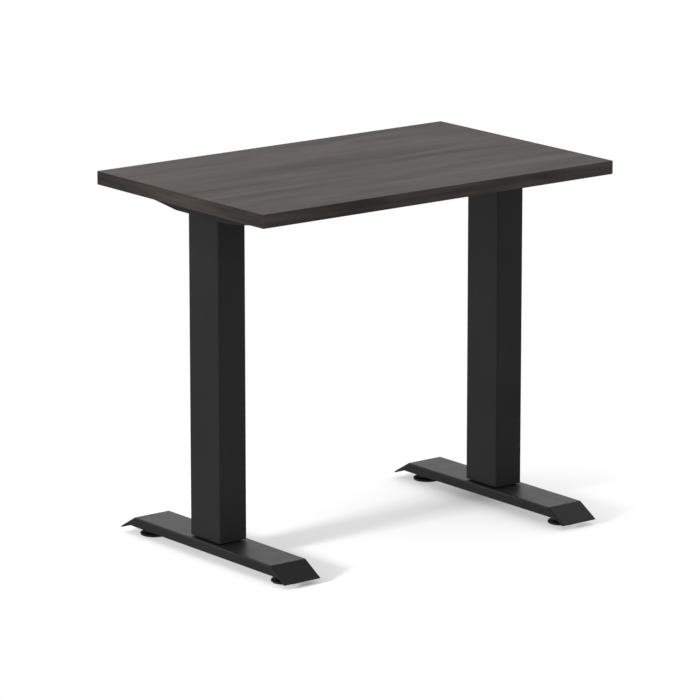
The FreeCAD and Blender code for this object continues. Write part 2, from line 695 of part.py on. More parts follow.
def outer_slider(side, x, turn):
    """Ring inside the outer tube's lower end, with a lip that covers the cut edge."""
    body = new_body(side + "_outer_slider", x, LEG_Y, turn)
    inside = (f"{MIDDLE_WIDTH} + 2 * slider_play", f"{MIDDLE_DEPTH} + 2 * slider_play",
              "inner_corner - slider_play")
    slider(body, OUTER_BOTTOM,
           ("outer_width - 2 * tube_sheet", "outer_depth - 2 * tube_sheet",
            "outer_corner - tube_sheet"), inside)
    ring(body, f"{OUTER_BOTTOM} - collar_lip", "collar_lip",
         ("outer_width", "outer_depth", "outer_corner"), inside)


def lower_nut(side, x, turn):
    """Fixed in the inner tube's top: the hollow screw climbs through it."""
    body = new_body(side + "_lower_nut", x, LEG_Y, turn)
    outline = new_sketch(body, "XY_Plane", f"{INNER_TOP} - nut_block_height")
    rounded_rectangle(outline, f"{INNER_WIDTH} - 2 * tube_sheet",
                      f"{INNER_DEPTH} - 2 * tube_sheet", "inner_corner - tube_sheet")
    circle(outline, "hollow_radius + thread_play")
    pad(body, outline, "nut_block_height")


def upper_nut(side, x, turn):
    """Caps the middle tube, holds the bearing below and the drive nut above."""
    body = new_body(side + "_upper_nut", x, LEG_Y, turn)
    plug = new_sketch(body, "XY_Plane", f"{MIDDLE_TOP} - nut_plug")
    rounded_rectangle(plug, f"{MIDDLE_WIDTH} - 2 * tube_sheet",
                      f"{MIDDLE_DEPTH} - 2 * tube_sheet", "inner_corner - tube_sheet")
    pad(body, plug, "nut_plug")
    flange = new_sketch(body, "XY_Plane", MIDDLE_TOP)
    rounded_rectangle(flange, MIDDLE_WIDTH, MIDDLE_DEPTH, "inner_corner")
    pad(body, flange, "nut_flange")
    boss = new_sketch(body, "XY_Plane", f"{MIDDLE_TOP} + nut_flange")
    circle(boss, "nut_boss_radius")
    pad(body, boss, "nut_boss_height")
    seat = new_sketch(body, "XY_Plane", BEARING_TOP)
    circle(seat, "bearing_radius")
    pocket(body, seat, "bearing_height + nut_plug")
    journal = new_sketch(body, "XY_Plane", f"{HOLLOW_TOP} + screw_end_gap")
    circle(journal, "hollow_radius + 4 * thread_play")
    pocket(body, journal, "journal_height + 2 * screw_end_gap")
    thread = new_sketch(body, "XY_Plane", f"{MIDDLE_TOP} + nut_flange + nut_boss_height")
    circle(thread, "drive_radius + thread_play")
    pocket(body, thread, "nut_flange + nut_boss_height")


def screw_bearing(side, x, turn):
    """Ball bearing in the upper nut's seat, drawn as its outer envelope."""
    body = new_body(side + "_screw_bearing", x, LEG_Y, turn)
    outline = new_sketch(body, "XY_Plane", f"{BEARING_TOP} - bearing_height")
    circle(outline, "bearing_radius")
    circle(outline, "hollow_radius + thread_play")
    pad(body, outline, "bearing_height")


def hollow_screw(side, x, turn):
    """Hangs in the bearing by its collar, and is turned by two keys inside its top."""
    body = new_body(side + "_hollow_screw", x, LEG_Y, turn)
    barrel = new_sketch(body, "XY_Plane", "hollow_bottom")
    circle(barrel, "hollow_radius")
    circle(barrel, "drive_radius + thread_play")
    pad(body, barrel, f"{HOLLOW_TOP} - hollow_bottom")
    collar = new_sketch(body, "XY_Plane", f"{BEARING_TOP} - bearing_height")
    circle(collar, "collar_radius")
    circle(collar, "(hollow_radius + drive_radius) / 2")
    pad(body, collar, "collar_height", backwards=True)
    keys = new_sketch(body, "XY_Plane", HOLLOW_TOP)
    reach = "key_depth + key_root"
    middle = f"drive_radius - key_depth + ({reach}) / 2"
    for x_place in (f"({middle})", f"(0 - ({middle}))"):
        rectangle(keys, reach, "key_width", x_place)
    pad(body, keys, "key_length", backwards=True)


def drive_screw(side, x, turn):
    """Solid screw with two keyways, turned by the gearbox above it."""
    body = new_body(side + "_drive_screw", x, LEG_Y, turn)
    top = f"{GEARBOX_BOTTOM} + shaft_depth - screw_end_gap"
    collar_top = f"{GEARBOX_BOTTOM} - drive_collar_gap"
    collar_bottom = f"{collar_top} - collar_height"
    revolve(body, [
        (ZERO, "drive_bottom"), ("drive_radius - drive_bevel", "drive_bottom"),
        ("drive_radius", "drive_bottom + drive_bevel"), ("drive_radius", collar_bottom),
        ("drive_collar_radius", collar_bottom), ("drive_collar_radius", collar_top),
        ("drive_radius", collar_top), ("drive_radius", top), (ZERO, top)])
    keyways = new_sketch(body, "XY_Plane", "drive_bottom")
    depth = "key_depth + key_root + key_play"
    middle = f"drive_radius - key_depth - key_play + ({depth}) / 2"
    for x_place in (f"({middle})", f"(0 - ({middle}))"):
        rectangle(keyways, depth, "key_width + 2 * key_play", x_place)
    pocket(body, keyways, f"{collar_bottom} - drive_bottom - drive_bevel", backwards=True)


def gearbox(side, x, turn):
    body = new_body(side + "_gearbox", x, LEG_Y, turn)
    outline = new_sketch(body, "XY_Plane", GEARBOX_BOTTOM)
    rounded_rectangle(outline, "gearbox_width", "gearbox_depth", "gearbox_corner")
    pad(body, outline, "gearbox_height")
    seat = new_sketch(body, "XY_Plane", GEARBOX_BOTTOM)
    circle(seat, "drive_radius + thread_play")
    pocket(body, seat, "shaft_depth", backwards=True)


def motor(side, x, turn):
    """Sealed motor between the gearbox and the head plate."""
    body = new_body(side + "_motor", x, LEG_Y, turn)
    outline = new_sketch(body, "XY_Plane", GEARBOX_TOP)
    circle(outline, "motor_radius")
    pad(body, outline, "motor_height")
    top, rim = value(HEAD_BOTTOM), value("motor_radius")

    def top_rim(edge):
        return edge.CenterOfMass.z > top - NEAR and edge.BoundBox.XMax > rim - NEAR

    round_edges(body, "motor_bell", top_rim)


def column_head(side, x, turn):
    """Plate welded in the outer tube's top, tapped for the bracket screws."""
    body = new_body(side + "_column_head", x, LEG_Y, turn)
    outline = new_sketch(body, "XY_Plane", HEAD_BOTTOM)
    rounded_rectangle(outline, "outer_width - 2 * tube_sheet", "outer_depth - 2 * tube_sheet",
                      "outer_corner - tube_sheet")
    for sx in ("column_screw_x", "(0 - column_screw_x)"):
        for sy in ("column_screw_y", "(0 - column_screw_y)"):
            circle(outline, "screw_radius", sx, sy)
    pad(body, outline, "head_thickness")
    slot = new_sketch(body, "XY_Plane", COLUMN_TOP)
    rectangle(slot, "lead_slot_depth", "lead_slot_width",
              "outer_width / 2 - tube_sheet - lead_slot_depth / 2")
    pocket(body, slot, "head_thickness")


# ---------------------------------------------------------------- under-desk frame
def countersunk_holes(body, sketch, backwards=False):
    """Clearance holes for the machine screws, countersunk from the sketch's side."""
    doc.recompute()
    before = body.Shape.Volume
    hole = body.newObject("PartDesign::Hole", body.Name + "_Hole")
    hole.Profile = (sketch, [""])
    hole.DepthType = "Dimension"
    bind(hole, "Depth", "3 * bracket_sheet")
    hole.DrillPoint = "Flat"
    bind(hole, "Diameter", "2 * screw_radius")
    hole.HoleCutType = "Countersink"
    bind(hole, "HoleCutDiameter", "2 * screw_head_radius")
    hole.HoleCutCountersinkAngle = RIGHT_ANGLE
    hole.Reversed = backwards
    doc.recompute()
    if body.Shape.Volume > before - TINY:
        raise RuntimeError(f"{hole.Label} cuts nothing")


def side_bracket(side, x, turn):
    """Channel under the board that straddles the column and tapers to both ends."""
    body = new_body(side + "_side_bracket", x, LEG_Y, turn)
    half, flat = "(bracket_length / 2)", "(bracket_flat / 2)"
    tip, deep = f"{UNDERSIDE} - bracket_tip", f"{UNDERSIDE} - bracket_drop"
    gap = "(outer_width + 2 * bracket_play)"
    profile = new_sketch(body, "YZ_Plane")
    polygon(profile, [
        (f"(0 - {half})", UNDERSIDE), (f"(0 - {half})", tip), (f"(0 - {flat})", deep),
        (flat, deep), (half, tip), (half, UNDERSIDE)])
    pad(body, profile, f"{gap} + 2 * bracket_sheet", side="Symmetric")
    channel = new_sketch(body, "YZ_Plane")
    rectangle(channel, "bracket_length + 2 * cut_margin", "bracket_drop",
              y=f"{COLUMN_TOP} - bracket_drop / 2")
    pocket(body, channel, gap, side="Symmetric")
    web = new_sketch(body, "XY_Plane", UNDERSIDE)
    for sx in ("column_screw_x", "(0 - column_screw_x)"):
        for sy in ("column_screw_y", "(0 - column_screw_y)"):
            circle(web, "screw_radius", sx, sy)
    countersunk_holes(body, web)
    wall = new_sketch(body, "YZ_Plane", f"{gap} / 2")
    for rail_y in ("rail_spread", "(0 - rail_spread)"):
        for step in ("rail_screw_y", "(0 - rail_screw_y)"):
            circle(wall, "screw_radius", f"{rail_y} + {step}", f"{UNDERSIDE} - rail_screw_drop")
    countersunk_holes(body, wall, backwards=True)
    boards = new_sketch(body, "XY_Plane", UNDERSIDE)
    for y in ("bracket_screw_near", "bracket_screw_far"):
        for spot in (y, f"(0 - {y})"):
            circle(boards, "wood_screw_radius", y=spot)
    pocket(body, boards, "2 * bracket_sheet")


def rail(name, shift):
    """Folded rail between the brackets, open below, with closed ends to screw to."""
    body = new_body(name, y=f"{LEG_Y} + {shift}")
    length = "(2 * (leg_spread - outer_width / 2 - bracket_play - bracket_sheet))"
    outline = new_sketch(body, "XY_Plane", UNDERSIDE)
    rectangle(outline, length, "rail_width")
    pad(body, outline, "rail_height", backwards=True)
    inside = new_sketch(body, "XY_Plane", f"{UNDERSIDE} - rail_height")
    rectangle(inside, f"{length} - 2 * bracket_sheet", "rail_width - 2 * rail_sheet")
    pocket(body, inside, "rail_height - rail_sheet", backwards=True)
    ends = new_sketch(body, "YZ_Plane")
    for step in ("rail_screw_y", "(0 - rail_screw_y)"):
        circle(ends, "screw_radius", step, f"{UNDERSIDE} - rail_screw_drop")
    pocket(body, ends, f"{length} + 2 * cut_margin", side="Symmetric")
    web = new_sketch(body, "XY_Plane", UNDERSIDE)
    for spot in ("rail_screw_x", "(0 - rail_screw_x)"):
        circle(web, "wood_screw_radius", spot)
    pocket(body, web, "2 * rail_sheet")


def countersunk_screw(seat, along):
    """A socket screw whose flat head is at the seat and whose shank runs along."""
    radius, head_radius = value("screw_radius"), value("screw_head_radius")
    head_height = head_radius - radius
    head = Part.makeCone(head_radius, radius, head_height)
    shank_length = value("screw_length") - head_height
    shank = Part.makeCylinder(radius, shank_length, Vector(0, 0, head_height))
    socket = hexagon_prism(value("screw_socket"), value("screw_socket_depth"), Vector())
    screw = head.fuse(shank).removeSplitter().cut(socket)
    screw.Placement = Placement(seat, Rotation(UP, along))
    return screw


def frame_screws():
    """Screws down through the bracket into each column, and sideways into the rails."""
    leg_x, leg_y = value("leg_spread"), value(LEG_Y)
    top, level = value(UNDERSIDE), value(f"{UNDERSIDE} - rail_screw_drop")
    wall_face = value("outer_width / 2 + bracket_play")
    solids = []
    for side in (-1, 1):
        for sx in (-1, 1):
            for sy in (-1, 1):
                spot = Vector(side * leg_x + sx * value("column_screw_x"),
                              leg_y + sy * value("column_screw_y"), top)
                solids.append(countersunk_screw(spot, -UP))
                rail_y = sx * value("rail_spread") + sy * value("rail_screw_y")
                spot = Vector(side * (leg_x - wall_face), leg_y + rail_y, level)
                solids.append(countersunk_screw(spot, Vector(-side, 0, 0)))
    group("frame_screws", solids)


# ---------------------------------------------------------------- control box
PLATE_BOTTOM = f"({UNDERSIDE} - plate_thickness)"
BOX_BOTTOM = f"({PLATE_BOTTOM} - box_height)"
BOX_INSIDE_REAR = "(box_depth / 2 - box_wall)"
LEAD_LEVEL = f"({BOX_BOTTOM} + board_lift + box_wall + board_sheet + lead_socket_height / 2)"
MAINS_LEVEL = f"({BOX_BOTTOM} + board_lift + box_wall + board_sheet + mains_height / 2)"
LEAD_PLACES = ["(0 - mains_x)", "(socket_pitch - mains_x)", "(2 * socket_pitch - mains_x)"]


def control_box_case():
    """Tray open at the top, with a window in its rear wall for each socket."""
    body = new_body("control_box_case", y=LEG_Y)
    outline = new_sketch(body, "XY_Plane", BOX_BOTTOM)
    rounded_rectangle(outline, "box_width", "box_depth", "box_corner")
    pad(body, outline, "box_height")
    bottom = value(BOX_BOTTOM)
    round_edges(body, "box_corner / 2", lambda edge: edge.CenterOfMass.z < bottom + NEAR)
    inside = new_sketch(body, "XY_Plane", PLATE_BOTTOM)
    rounded_rectangle(inside, "box_width - 2 * box_wall", "box_depth - 2 * box_wall",
                      "box_corner - box_wall")
    pocket(body, inside, "box_height - box_wall")
    windows = new_sketch(body, "XZ_Plane")
    for x in LEAD_PLACES:
        rectangle(windows, "lead_socket_width", "lead_socket_height", x, LEAD_LEVEL)
    rectangle(windows, "mains_width", "mains_height", "mains_x", MAINS_LEVEL)
    pocket(body, windows, "box_depth")


def control_box_plate():
    """Steel plate that closes the box and screws under the board by its two ends."""
    body = new_body("control_box_plate", y=LEG_Y)
    outline = new_sketch(body, "XY_Plane", PLATE_BOTTOM)
    rounded_rectangle(outline, "box_width + 2 * plate_ear", "box_depth", "box_corner")
    for x in ("(box_width + plate_ear) / 2", "(0 - (box_width + plate_ear) / 2)"):
        for y in ("ear_screw_y", "(0 - ear_screw_y)"):
            circle(outline, "wood_screw_radius", x, y)
    pad(body, outline, "plate_thickness")


def control_sockets():
    """Three lead sockets and the mains inlet, standing in the case's windows."""
    rear, recess = value("box_depth / 2"), value("socket_recess")
    wall = value("socket_wall")
    kinds = [(x, LEAD_LEVEL, "lead_socket") for x in LEAD_PLACES]
    kinds.append(("mains_x", MAINS_LEVEL, "mains"))
    solids = []
    for x, level, kind in kinds:
        width, height = value(kind + "_width"), value(kind + "_height")
        reach = value(kind + "_reach")
        low = Vector(value(x) - width / 2, rear - reach, value(level) - height / 2)
        block = Part.makeBox(width, reach, height, low)
        mouth = Part.makeBox(width - 2 * wall, recess, height - 2 * wall,
                             low + Vector(wall, reach - recess, wall))
        solids.append(block.cut(mouth))
    group("control_sockets", solids, y=LEG_Y)


def control_board():
    """Circuit board with its transformer and capacitors, in front of the sockets."""
    body = new_body("control_board", y=LEG_Y)
    bottom = f"{BOX_BOTTOM} + box_wall + board_lift"
    outline = new_sketch(body, "XY_Plane", bottom)
    rectangle(outline, "box_width - 2 * box_wall - 2 * board_margin",
              "box_depth - 2 * box_wall - 2 * board_margin")
    pad(body, outline, "board_sheet")
    top = f"{bottom} + board_sheet"
    coil = new_sketch(body, "XY_Plane", top)
    circle(coil, "coil_radius", "(0 - mains_x)", "(0 - coil_radius)")
    pad(body, coil, "coil_height")
    cans = new_sketch(body, "XY_Plane", top)
    for x in (ZERO, "socket_pitch", "2 * socket_pitch"):
        circle(cans, "capacitor_radius", x, "(0 - coil_radius)")
    pad(body, cans, "capacitor_height")


# ---------------------------------------------------------------- handset
HANDSET_FRONT = "(centre_shift - board_depth / 2 + handset_setback)"
HANDSET_Y = f"({HANDSET_FRONT} + handset_depth / 2)"
HANDSET_BOTTOM = f"({UNDERSIDE} - handset_height)"
BUTTON_LEVEL = f"({HANDSET_BOTTOM} + handset_height / 2)"
BUTTON_REAR = "(handset_wall + button_rim_depth - handset_depth / 2)"
SWITCH_FRONT = f"({BUTTON_REAR} + button_travel + button_play)"


def handset_case():
    """Shallow shell, open towards the board, with an ear each side to screw it up."""
    body = new_body("handset_case", "handset_x", HANDSET_Y)
    outline = new_sketch(body, "XY_Plane", HANDSET_BOTTOM)
    rounded_rectangle(outline, "handset_width", "handset_depth", "handset_corner")
    pad(body, outline, "handset_height")
    bottom = value(HANDSET_BOTTOM)
    round_edges(body, "handset_corner / 2", lambda edge: edge.CenterOfMass.z < bottom + NEAR)
    ears = new_sketch(body, "XY_Plane", UNDERSIDE)
    rounded_rectangle(ears, "handset_width + 2 * ear_width", "ear_length", "handset_corner")
    pad(body, ears, "plate_thickness", backwards=True)
    inside = new_sketch(body, "XY_Plane", UNDERSIDE)
    rounded_rectangle(inside, "handset_width - 2 * handset_wall",
                      "handset_depth - 2 * handset_wall", "handset_corner - handset_wall")
    pocket(body, inside, "handset_height - handset_wall")
    windows = new_sketch(body, "XZ_Plane")
    for x in ("button_x", "(0 - button_x)"):
        rounded_rectangle(windows, "button_width + 2 * button_play",
                          "button_height + 2 * button_play", "button_corner + button_play",
                          x, BUTTON_LEVEL)
    pocket(body, windows, "handset_depth", backwards=True)
    holes = new_sketch(body, "XY_Plane", UNDERSIDE)
    for x in ("(handset_width + ear_width) / 2", "(0 - (handset_width + ear_width) / 2)"):
        circle(holes, "wood_screw_radius", x)
    pocket(body, holes, "2 * plate_thickness")


def handset_board():
    """Upright circuit board across the handset, with a push switch for each button."""
    body = new_body("handset_board", "handset_x", HANDSET_Y)
    board_front = f"({SWITCH_FRONT} + switch_height)"
    card = new_sketch(body, "XZ_Plane", f"0 - {board_front}")
    rectangle(card, "handset_width - 2 * handset_wall - 2 * card_margin",
              "handset_height - handset_wall - 2 * card_margin",
              y=f"{BUTTON_LEVEL} + handset_wall / 2")
    pad(body, card, "board_sheet", backwards=True)
    switches = new_sketch(body, "XZ_Plane", f"0 - {board_front}")
    for x in ("button_x", "(0 - button_x)"):
        rectangle(switches, "switch_side", "switch_side", x, BUTTON_LEVEL)
    pad(body, switches, "switch_height")


def button(name, x, points):
    """Keycap with a raised arrow that points up (1) or down (-1), kept in by a flange."""
    body = new_body(name, f"handset_x + {x}", HANDSET_Y)
    cap = new_sketch(body, "XZ_Plane", "handset_depth / 2 - handset_wall")
    rounded_rectangle(cap, "button_width", "button_height", "button_corner", y=BUTTON_LEVEL)
    pad(body, cap, "handset_wall + button_proud")
    rim = new_sketch(body, "XZ_Plane", "handset_depth / 2 - handset_wall - button_play")
    rounded_rectangle(rim, "button_width + 2 * button_rim", "button_height + 2 * button_rim",
                      "button_corner + button_rim", y=BUTTON_LEVEL)
    pad(body, rim, "button_rim_depth - button_play", backwards=True)
    stem = new_sketch(body, "XZ_Plane", "handset_depth / 2 - handset_wall - button_play")
    rounded_rectangle(stem, "button_width", "button_height", "button_corner", y=BUTTON_LEVEL)
    pad(body, stem, "button_play")
    arrow = new_sketch(body, "XZ_Plane", "handset_depth / 2 + button_proud")
    foot_level = f"{BUTTON_LEVEL} - {points} * arrow_height / 2"
    polygon(arrow, [
        (f"(0 - {points} * arrow_width / 2)", foot_level),
        (f"({points} * arrow_width / 2)", foot_level),
        (ZERO, f"{BUTTON_LEVEL} + {points} * arrow_height / 2")])
    pad(body, arrow, "arrow_proud")


# ---------------------------------------------------------------- the desk
desktop_board()
edge_bands()
desktop_screws()
for side, (x, turn) in SIDES.items():
    foot(side, x)
    leveller_nuts(side, x)
    foot_screws(side, x)
    for piece in (base_plate, inner_tube, inner_slider, lower_nut, middle_tube,
                  middle_sliders, upper_nut, screw_bearing, hollow_screw, drive_screw,
                  outer_tube, outer_slider, gearbox, motor, column_head, side_bracket):
        piece(side, x, turn)
for name, (x, y) in GLIDES.items():
    leveller_pad(name, x, y)
    leveller_stud(name, x, y)
rail("front_rail", "(0 - rail_spread)")
rail("rear_rail", "rail_spread")
frame_screws()
control_box_case()
control_box_plate()
control_sockets()
control_board()
handset_case()
handset_board()
button("button_up", "button_x", 1)
button("button_down", "(0 - button_x)", -1)
doc.recompute()

for item in doc.Objects:
    if "Invalid" in item.State or "Error" in item.State:
        raise RuntimeError(f"{item.Label} failed: {item.State}")
for piece in subparts:
    if piece.Shape.isNull() or not piece.Shape.isValid():
        raise RuntimeError(f"{piece.Label} has no valid shape")

os.makedirs("parts", exist_ok=True)
for piece in subparts:
    piece.Shape.exportStep(f"parts/{piece.Label}.step")
print(len(subparts), "sub-parts written")
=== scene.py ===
import json
import math

import bpy
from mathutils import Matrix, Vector

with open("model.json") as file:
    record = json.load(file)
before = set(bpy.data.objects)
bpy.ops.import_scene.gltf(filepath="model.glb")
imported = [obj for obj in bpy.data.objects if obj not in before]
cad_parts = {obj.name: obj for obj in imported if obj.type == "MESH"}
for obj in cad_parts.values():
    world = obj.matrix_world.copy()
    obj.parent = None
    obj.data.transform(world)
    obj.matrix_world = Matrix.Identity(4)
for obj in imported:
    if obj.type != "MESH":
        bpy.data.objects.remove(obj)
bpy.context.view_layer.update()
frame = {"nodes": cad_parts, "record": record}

# Looks for the height adjustable standing desk: a material with its surface detail for
# every part, the floor, the lights and the camera.
# Lengths are in metres, in the frame of the CAD parts.

MM = 0.001

# ------------------------------------------------------------------ camera
AZIMUTH = math.radians(-37.943)
ELEVATION = math.radians(13.277)
CAMERA_DISTANCE = 8.8465
AIM = Vector((-0.01475, 0.004, 0.3388))
LENS_MM = 248.2
SENSOR_MM = 36.0
VIEW_DEPTH = 200


def make_camera():
    """A long lens, low and to the left of the desk's front."""
    back = Vector((math.sin(AZIMUTH) * math.cos(ELEVATION),
                   -math.cos(AZIMUTH) * math.cos(ELEVATION),
                   math.sin(ELEVATION)))
    data = bpy.data.cameras.new("camera")
    data.lens = LENS_MM
    data.sensor_width = SENSOR_MM
    data.clip_end = VIEW_DEPTH
    camera = bpy.data.objects.new("camera", data)
    camera.location = AIM + back * CAMERA_DISTANCE
    camera.rotation_euler = back.to_track_quat("Z", "Y").to_euler()
    bpy.context.scene.collection.objects.link(camera)
    bpy.context.scene.camera = camera


# ------------------------------------------------------------------ light and floor
FLOOR_HALF = 40
FLOOR_MIDDLE = (-0.12, 0.0, 0.0)
SHADED_RADIUS = 0.45
WHITE_RADIUS = 0.78
FLOOR_OWN_LIGHT = 0.22
FLOOR_GREY = (0.86, 0.86, 0.86)
WHITE = (1.0, 1.0, 1.0)


def make_softbox(name, place, aim, width, height, power):
    """A diffuse lamp that surfaces don't mirror: the backdrop alone gives the sheen."""
    data = bpy.data.lights.new(name, "AREA")
    data.shape = "RECTANGLE"
    data.size = width
    data.size_y = height
    data.energy = power
    lamp = bpy.data.objects.new(name, data)
    lamp.location = place
    lamp.rotation_euler = (Vector(place) - Vector(aim)).to_track_quat("Z", "Y").to_euler()
    lamp.visible_camera = False
    lamp.visible_glossy = False
    bpy.context.scene.collection.objects.link(lamp)
    return lamp


def make_lights(floor):
    """A broad lamp overhead, a small one at the left, and one for the floor alone."""
    make_softbox("overhead", (0.0, 0.4, 2.6), (0, 0, 0), 7.0, 6.0, 138)
    make_softbox("left", (-3.0, -0.2, 1.2), (0, 0, 0.4), 1.6, 1.6, 20)
    # a low lamp that lights the floor under the desk, between the columns' shadows
    under = make_softbox("under", (-4.0, -0.23, 1.33), (0.0, 0.0, 0.0), 0.6, 0.5, 200)
    only_floor = bpy.data.collections.new("only_floor")
    only_floor.objects.link(floor)
    under.light_linking.receiver_collection = only_floor


def make_world():
    """White for the camera. For the desk, a backdrop that is bright behind and dim in front,
    overhead and below."""
    paint = WorldNodes("studio")
    height = paint.add("SeparateXYZ", {"Vector": paint.place}).outputs["Z"]

    def towards(direction):
        inputs = {0: paint.place, 1: Vector(direction).normalized()}
        return paint.add("VectorMath", inputs, operation="DOT_PRODUCT").outputs["Value"]

    around = paint.ramp(towards((0.6, 0.77, 0)), -0.3, 0.3, 0.5, 1.35)
    above = paint.mix(paint.ramp(height, 0.45, 0.75), around, 0.24)
    left_glow = paint.math("POWER", paint.math("MAXIMUM", towards((-0.85, 0.5, -0.23))), 3.0)
    below = paint.math("ADD", paint.math("MULTIPLY", left_glow, 0.22), 0.13)
    strength = paint.mix(paint.ramp(height, -0.08, 0.08), below, above)
    seen = paint.add("LightPath").outputs["Is Camera Ray"]
    strength = paint.mix(seen, strength, 1.0)
    backdrop = paint.add("Background", {"Strength": strength})
    paint.tree.links.new(backdrop.outputs["Background"], paint.output.inputs["Surface"])
    bpy.context.scene.world = paint.owner


def make_floor():
    """A pale floor that takes soft shadows, lightened by its own painted glow, and glows plain
    white further out.
    """
    half = FLOOR_HALF
    mesh = bpy.data.meshes.new("floor")
    corners = [(-half, -half, 0), (half, -half, 0), (half, half, 0), (-half, half, 0)]
    mesh.from_pydata(corners, [], [(0, 1, 2, 3)])
    floor = bpy.data.objects.new("floor", mesh)
    bpy.context.scene.collection.objects.link(floor)
    paint = Nodes("floor_paint")
    # the shaded part lies a little to the left, so that the right foot stands near its rim
    radius = paint.add("VectorMath", {0: paint.place, 1: FLOOR_MIDDLE}, operation="DISTANCE")
    # painted light: the floor glows a little near the desk, which lightens its shadows, and fully
    # white further out
    floor_glow_share = paint.ramp(radius.outputs["Value"], SHADED_RADIUS, WHITE_RADIUS, FLOOR_OWN_LIGHT, 1.0)
    matte = paint.add("BsdfDiffuse", {"Color": FLOOR_GREY})
    white = paint.add("Emission", {"Color": WHITE})
    both = paint.add("MixShader", {0: floor_glow_share, 1: matte.outputs[0], 2: white.outputs[0]})
    paint.tree.links.new(both.outputs[0], paint.output.inputs["Surface"])
    mesh.materials.append(paint.owner)
    floor.visible_glossy = False
    return floor


# ------------------------------------------------------------------ material helpers
class Nodes:
    """A material's node tree, built one call at a time."""

    def __init__(self, name, owner=None, output="OutputMaterial", coords="Object"):
        self.owner = owner or bpy.data.materials.new(name)
        self.owner.use_nodes = True
        self.tree = self.owner.node_tree
        self.tree.nodes.clear()
        self.output = self.add(output)
        self.place = self.add("TexCoord").outputs[coords]

    def add(self, kind, inputs=None, **settings):
        node = self.tree.nodes.new("ShaderNode" + kind)
        for name, setting in settings.items():
            setattr(node, name, setting)
        for name, content in (inputs or {}).items():
            self.feed(node.inputs[name], content)
        return node

    def feed(self, socket, content):
        if isinstance(content, bpy.types.NodeSocket):
            self.tree.links.new(content, socket)
        elif socket.type == "RGBA":
            socket.default_value = (*content, 1)
        else:
            socket.default_value = content

    def stretched(self, scale, place=None):
        """The place in the object, scaled by a different amount along each axis."""
        source = place or self.place
        return self.add("Mapping", {"Vector": source, "Scale": scale}).outputs["Vector"]

    def noise(self, scale, detail=2.0, rough=0.5, warp=0.0, place=None):
        """Noise from 0 to 1; scale is per metre, as one number or one for each axis."""
        if isinstance(scale, (int, float)):
            scale = (scale, scale, scale)
        inputs = {"Vector": self.stretched(scale, place), "Scale": 1.0, "Detail": detail,
                  "Roughness": rough, "Distortion": warp}
        return self.add("TexNoise", inputs).outputs["Fac"]

    def ramp(self, amount, low, high, to_low=0.0, to_high=1.0):
        """Spread the part of amount between low and high over to_low to to_high."""
        inputs = {"Value": amount, "From Min": low, "From Max": high,
                  "To Min": to_low, "To Max": to_high}
        return self.add("MapRange", inputs).outputs["Result"]

    def math(self, operation, first, second=0.0):
        node = self.add("Math", operation=operation)
        self.feed(node.inputs[0], first)
        self.feed(node.inputs[1], second)
        return node.outputs[0]

    def mix(self, amount, first, second):
        """A number between first and second."""
        return self.add("Mix", {"Factor": amount, "A": first, "B": second}).outputs["Result"]

    def blend(self, amount, first, second):
        """A colour between first and second."""
        node = self.add("Mix", data_type="RGBA")
        self.feed(node.inputs["Factor"], amount)
        self.feed(node.inputs[6], first)
        self.feed(node.inputs[7], second)
        return node.outputs[2]

    def rounded(self, radius):
        """The surface's direction, with its sharp edges softened."""
        return self.add("Bevel", {"Radius": radius}, samples=6).outputs["Normal"]

    def edges(self, radius):
        """1 on sharp edges and 0 on flats."""
        soft = self.rounded(radius)
        flat = self.add("NewGeometry").outputs["Normal"]
        dot = self.add("VectorMath", operation="DOT_PRODUCT")
        self.feed(dot.inputs[0], soft)
        self.feed(dot.inputs[1], flat)
        return self.ramp(dot.outputs["Value"], 0.995, 0.85)

    def bump(self, height, depth, below=None):
        """Relief that is depth metres from the lowest to the highest point."""
        inputs = {"Height": height, "Distance": depth, "Strength": 1.0}
        if below is not None:
            inputs["Normal"] = below
        return self.add("Bump", inputs).outputs["Normal"]

    def shade(self, color, roughness, normal=None, metallic=0.0, specular=0.5, **more):
        """Finish the material with one shader; more names its other sockets."""
        inputs = {"Base Color": color, "Roughness": roughness, "Metallic": metallic,
                  "Specular IOR Level": specular}
        if normal is not None:
            inputs["Normal"] = normal
        inputs.update({name.replace("_", " "): content for name, content in more.items()})
        shader = self.add("BsdfPrincipled", inputs)
        self.tree.links.new(shader.outputs["BSDF"], self.output.inputs["Surface"])
        return self.owner


class WorldNodes(Nodes):
    """The backdrop's node tree."""

    def __init__(self, name):
        super().__init__(name, bpy.data.worlds.new(name), "OutputWorld", "Generated")


# ------------------------------------------------------------------ materials
PORE_COLOR = (0.018, 0.013, 0.011)
WOOD_SPECULAR = 0.32
WOOD_RELIEF = 0.05 * MM
WORN_BAND_COLOR = (0.17, 0.145, 0.13)
WORN_COAT_COLOR = (0.075, 0.075, 0.078)


def grain(paint, along, dark, pale):
    """Wood print from dark to pale: (colour, roughness, relief), its grain along an axis."""
    def lengthways(length_scale, cross_scale):
        return tuple(length_scale if axis == along else cross_scale for axis in "xyz")

    drift = paint.noise(lengthways(1.0, 6.0), detail=3, rough=0.55)
    figure = paint.noise(lengthways(2.6, 21), detail=5, rough=0.6, warp=0.5)
    streaks = paint.noise(lengthways(3.0, 160), detail=6, rough=0.7)
    fibres = paint.noise(lengthways(9.0, 900), detail=4, rough=0.7)
    pores = paint.noise(lengthways(40, 1500), detail=2, rough=0.5)
    tone = paint.math("MULTIPLY", figure, 0.45)
    for layer, share in ((streaks, 0.28), (fibres, 0.12), (drift, 0.15)):
        tone = paint.math("ADD", tone, paint.math("MULTIPLY", layer, share))
    tone = paint.ramp(tone, 0.40, 0.60)
    color = paint.blend(tone, dark, pale)
    pits = paint.ramp(pores, 0.60, 0.74)
    color = paint.blend(paint.math("MULTIPLY", pits, 0.35), color, PORE_COLOR)
    roughness = paint.ramp(streaks, 0.3, 0.7, 0.52, 0.64)
    relief = paint.math("SUBTRACT", fibres, paint.math("MULTIPLY", pits, 0.8))
    return color, roughness, relief


